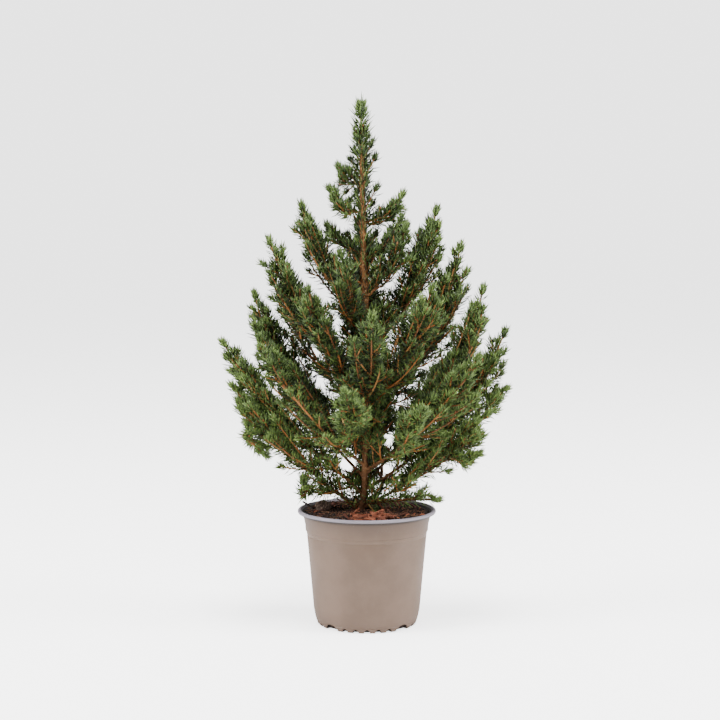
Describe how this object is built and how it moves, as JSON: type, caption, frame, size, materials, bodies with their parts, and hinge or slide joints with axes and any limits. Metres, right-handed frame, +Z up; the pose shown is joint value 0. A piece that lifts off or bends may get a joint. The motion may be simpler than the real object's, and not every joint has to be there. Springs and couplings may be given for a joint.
{
  "type": "potted dwarf alberta spruce",
  "caption": "Young dwarf spruce in a round nursery pot: upright trunk with a narrow leader, boughs sweeping up all round, dense short needles, bark chips on the soil.",
  "frame": {"origin": "centre of the pot's flat underside", "axes": "+Z up, along the trunk; +X to the right and -Y towards the viewer who faces the front of the plant"},
  "size_m": [0.2703, 0.228, 0.49],
  "materials": {
    "pot": "matt recycled plastic, faintly mottled",
    "soil": "dark moist compost with bark chips",
    "bark": "scaly young bark, orange brown",
    "foliage": "fine green needles, lighter at the tips"
  },
  "bodies": {
    "root": {"bough_back": "bark", "bough_back_left": "bark", "bough_back_low_left": "bark", "bough_back_low_right": "bark", "bough_back_right": "bark", "bough_crown_left": "bark", "bough_crown_right": "bark", "bough_front": "bark", "bough_front_left": "bark", "bough_front_low_left": "bark", "bough_front_low_right": "bark", "bough_front_right": "bark", "bough_left": "bark", "bough_left_inner": "bark", "bough_low_left": "bark", "bough_low_right": "bark", "bough_right": "bark", "bough_right_inner": "bark", "bough_upper_left": "bark", "bough_upper_right": "bark", "foliage_back": "foliage", "foliage_back_left": "foliage", "foliage_back_low": "foliage", "foliage_back_low_left": "foliage", "foliage_back_low_right": "foliage", "foliage_back_right": "foliage", "foliage_crown_back": "foliage", "foliage_crown_front_left": "foliage", "foliage_crown_front_right": "foliage", "foliage_crown_left": "foliage", "foliage_crown_right": "foliage", "foliage_front": "foliage", "foliage_front_left": "foliage", "foliage_front_low": "foliage", "foliage_front_low_left": "foliage", "foliage_front_low_right": "foliage", "foliage_front_low_side": "foliage", "foliage_front_right": "foliage", "foliage_leader": "foliage", "foliage_leader_left_high": "foliage", "foliage_leader_left_low": "foliage", "foliage_leader_left_mid": "foliage", "foliage_leader_right_high": "foliage", "foliage_leader_right_low": "foliage", "foliage_left": "foliage", "foliage_left_inner": "foliage", "foliage_low_left": "foliage", "foliage_low_left_tip": "foliage", "foliage_low_right": "foliage", "foliage_low_right_tip": "foliage", "foliage_right": "foliage", "foliage_right_inner": "foliage", "foliage_right_tip": "foliage", "foliage_skirt_left": "foliage", "foliage_skirt_right": "foliage", "foliage_upper_left": "foliage", "foliage_upper_right": "foliage", "pot": "pot", "soil": "soil", "trunk": "bark"}
  },
  "joints": []
}
